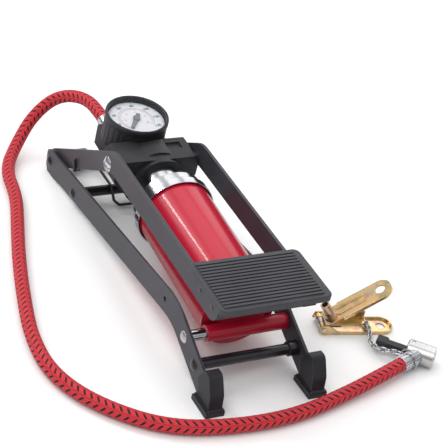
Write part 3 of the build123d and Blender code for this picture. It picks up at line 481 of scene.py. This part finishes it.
# ---------------------------------------------------------------- gauge
# Where the scale starts, from the pump's axis and anticlockwise as seen from above.
DIAL_START = math.radians(145.0)
DIAL_SWEEP = math.radians(270.0)
HOUSING_R = 24.0 * MM
HOUSING_FACETS = 28         # flats round the cup, with a groove between each two
SHARP_ANGLE = math.radians(38.0)
FACET_STEPS = 10            # mesh steps across one flat
GROOVE_DEPTH = 0.42 * MM
GROOVE_SHARE = 0.09         # half the width of a groove, as a share of a flat
OUTER_STEPS, INNER_STEPS = 70, 50       # divisions of the two scales, every fifth one longer
OUTER_NUMBERS = range(0, 141, 20)
INNER_NUMBERS = range(0, 11, 2)


def on_dial(radius, angle, lift=0.0):
    """A point on the dial's face, angle anticlockwise from the way to the rear."""
    return GAUGE @ Vector((-radius * math.sin(angle), radius * math.cos(angle), DIAL_FACE + lift))


def dial_strokes(name, strokes, finish, height=0.05 * MM):
    """Flat strokes on the dial as thin blocks: (inner radius, outer radius, angle, width)."""
    points, faces = [], []
    for inner, outer, angle, width in strokes:
        first = len(points)
        for lift in (0.0, height):
            for radius, side in ((inner, -1), (outer, -1), (outer, 1), (inner, 1)):
                points.append(on_dial(radius, angle + side * width / 2 / radius, lift))
        low, high = (first, first + 1, first + 2, first + 3), (first + 4, first + 5, first + 6, first + 7)
        faces.append(high[::-1])
        for index in range(4):
            after = (index + 1) % 4
            faces.append((low[index], high[index], high[after], low[after]))
    piece = mesh_piece(name, points, faces, finish, smooth=False)
    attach(piece, "head")


def dial_ring(name, radius, width, finish, steps=120):
    """A thin printed arc that follows the scale."""
    strokes = []
    for index in range(steps):
        angle = DIAL_START - DIAL_SWEEP * (index + 0.5) / steps
        strokes.append((radius - width / 2, radius + width / 2, angle, radius * DIAL_SWEEP / steps * 1.02))
    dial_strokes(name, strokes, finish)


def dial_numbers(name, values, radius, size, finish):
    """Upright numbers round the scale, as one mesh."""
    up = DIAL_START - DIAL_SWEEP / 2
    tops = []
    for index, value in enumerate(values):
        text = bpy.data.curves.new(f"{name}_{value}", "FONT")
        text.body = str(value)
        text.size = size
        text.align_x = "CENTER"
        text.align_y = "CENTER"
        text.extrude = 0.02 * MM
        text.offset = 0.07 * MM
        holder = bpy.data.objects.new(f"{name}_{value}", text)
        bpy.context.scene.collection.objects.link(holder)
        angle = DIAL_START - DIAL_SWEEP * index / (len(values) - 1)
        place = GAUGE @ Matrix.Translation((-radius * math.sin(angle), radius * math.cos(angle),
                                            DIAL_FACE + 0.03 * MM)) @ Matrix.Rotation(up, 4, "Z")
        bpy.context.view_layer.update()
        mesh = bpy.data.meshes.new_from_object(holder.evaluated_get(bpy.context.evaluated_depsgraph_get()))
        mesh.transform(place)
        tops.append(mesh)
        bpy.data.objects.remove(holder)
    points, faces = [], []
    for mesh in tops:
        first = len(points)
        points.extend(vertex.co.copy() for vertex in mesh.vertices)
        faces.extend(tuple(first + corner for corner in face.vertices) for face in mesh.polygons)
    piece = mesh_piece(name, points, faces, finish, smooth=False)
    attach(piece, "head")


def housing_profile():
    """(radius, height) of the cup: out from the stem, up the outside, over the rim and back down inside."""
    floor = RIM_TOP - HOUSING_HEIGHT
    return [
        (4.1 * MM, floor), (HOUSING_R - 1.4 * MM, floor), (HOUSING_R - 0.6 * MM, floor + 0.5 * MM),
        (HOUSING_R - 0.35 * MM, floor + 1.3 * MM), (HOUSING_R - 0.35 * MM, floor + 6 * MM),
        (HOUSING_R - 0.35 * MM, floor + 12 * MM), (HOUSING_R - 0.35 * MM, RIM_TOP - 5.2 * MM),
        (HOUSING_R - 0.3 * MM, RIM_TOP - 4.7 * MM), (HOUSING_R, RIM_TOP - 4.3 * MM),
        (HOUSING_R, RIM_TOP - 1.4 * MM), (HOUSING_R - 0.25 * MM, RIM_TOP - 0.5 * MM),
        (HOUSING_R - 0.9 * MM, RIM_TOP), (HOUSING_R - 1.5 * MM, RIM_TOP - 0.1 * MM),
        (HOUSING_R - 2.05 * MM, RIM_TOP - 0.6 * MM), (HOUSING_R - 2.1 * MM, RIM_TOP - 3 * MM),
        (HOUSING_R - 2.1 * MM, RIM_TOP - 5.6 * MM), (HOUSING_R - 2.6 * MM, RIM_TOP - 5.6 * MM),
        (HOUSING_R - 2.6 * MM, floor + 2.4 * MM), (4.1 * MM, floor + 2.4 * MM), (4.1 * MM, floor),
    ]


def make_housing():
    """The gauge's cup, with grooves up its outer wall."""
    profile = housing_profile()
    ribbed = range(3, 7)
    around = HOUSING_FACETS * FACET_STEPS
    points, faces = [], []
    for index, (radius, height) in enumerate(profile):
        for step in range(around):
            angle = 2 * math.pi * step / around
            part = (step % FACET_STEPS) / FACET_STEPS
            shape = math.exp(-(min(part, 1 - part) / GROOVE_SHARE) ** 2)
            reach = radius - (GROOVE_DEPTH * shape if index in ribbed else 0.0)
            points.append(GAUGE @ Vector((reach * math.sin(angle), reach * math.cos(angle), height)))
    for index in range(len(profile) - 1):
        for step in range(around):
            after = (step + 1) % around
            faces.append((index * around + step, (index + 1) * around + step, (index + 1) * around + after,
                          index * around + after))
    piece = mesh_piece("gauge_housing_ribbed", points, faces, FINISHES["black_plastic"])
    piece.data.set_sharp_from_angle(angle=SHARP_ANGLE)
    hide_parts("gauge_housing")
    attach(piece, "head")


def make_dial():
    """A generic double scale: an outer one in dark grey and an inner one in rose."""
    grey = dial_print("dial_grey", (0.05, 0.06, 0.09))
    rose = dial_print("dial_rose", (0.62, 0.16, 0.20))
    majors, minors, inner = [], [], []
    for index in range(OUTER_STEPS + 1):
        angle = DIAL_START - DIAL_SWEEP * index / OUTER_STEPS
        if index % 5:
            minors.append((20.2 * MM, 21.0 * MM, angle, 0.20 * MM))
        else:
            majors.append((19.7 * MM, 21.0 * MM, angle, 0.42 * MM))
    for index in range(INNER_STEPS + 1):
        angle = DIAL_START - DIAL_SWEEP * index / INNER_STEPS
        start, width = (11.4 * MM, 0.10 * MM) if index % 5 else (10.9 * MM, 0.24 * MM)
        inner.append((start, 12.4 * MM, angle, width))
    dial_strokes("dial_ticks", majors + minors, grey)
    dial_strokes("dial_inner_ticks", inner, rose)
    dial_ring("dial_ring", 13.8 * MM, 0.22 * MM, grey)
    dial_ring("dial_inner_ring", 12.6 * MM, 0.22 * MM, rose)
    dial_numbers("dial_numbers", OUTER_NUMBERS, 16.7 * MM, 3.6 * MM, grey)
    dial_numbers("dial_inner_numbers", INNER_NUMBERS, 8.8 * MM, 2.5 * MM, rose)


make_housing()
make_dial()


# ---------------------------------------------------------------- floor and light
def area_light(name, place, aim, width, height, power):
    """A white panel light turned towards a point."""
    lamp = bpy.data.lights.new(name, "AREA")
    lamp.shape = "RECTANGLE"
    lamp.size, lamp.size_y = width, height
    lamp.energy = power
    holder = bpy.data.objects.new(name, lamp)
    holder.location = place
    holder.rotation_euler = (Vector(aim) - Vector(place)).to_track_quat("-Z", "Y").to_euler()
    bpy.context.scene.collection.objects.link(holder)


def make_stage():
    """A pale floor just under the part."""
    half, level = 4.0, -0.0002
    corners = [(-half, -half, level), (half, -half, level), (half, half, level), (-half, half, level)]
    paper = Shader("paper")
    grain = paper.noise(paper.object_place(), 4 * MM, 2.0)
    paper.set(Base_Color=paper.mix(grain, (0.90, 0.90, 0.90), (0.92, 0.92, 0.92)), Roughness=0.9)
    floor = mesh_piece("floor", corners, [(0, 1, 2, 3)], paper.material, smooth=False)


def make_world():
    """A studio sky: grey at the horizon and white from well above it."""
    world = bpy.data.worlds.new("studio")
    bpy.context.scene.world = world
    world.use_nodes = True
    tree = world.node_tree
    backdrop = tree.nodes["Background"]
    place = tree.nodes.new("ShaderNodeTexCoord")
    split = tree.nodes.new("ShaderNodeSeparateXYZ")
    ramp = tree.nodes.new("ShaderNodeValToRGB")
    tree.links.new(place.outputs["Generated"], split.inputs[0])
    tree.links.new(split.outputs["Z"], ramp.inputs[0])
    tree.links.new(ramp.outputs[0], backdrop.inputs["Color"])
    ramp.color_ramp.elements[0].position = 0.0
    ramp.color_ramp.elements[0].color = (0.22, 0.22, 0.24, 1.0)
    ramp.color_ramp.elements[1].position = 0.6
    ramp.color_ramp.elements[1].color = (1.0, 1.0, 1.0, 1.0)
    backdrop.inputs["Strength"].default_value = 0.85


MIDDLE = (0.0, 0.0, 0.05)
make_stage()
make_world()
area_light("key", (-0.9, -0.5, 1.5), MIDDLE, 1.2, 1.2, 9.0)
area_light("top", (0.3, 0.5, 1.6), MIDDLE, 1.4, 1.4, 7.0)
area_light("streak", (-0.55, 0.75, 0.86), (0.0, 0.0, 0.06), 0.05, 0.7, 4.0)
area_light("back_right", (1.1, 0.9, 0.7), MIDDLE, 0.8, 0.9, 3.0)
bpy.context.scene.view_settings.view_transform = "Standard"
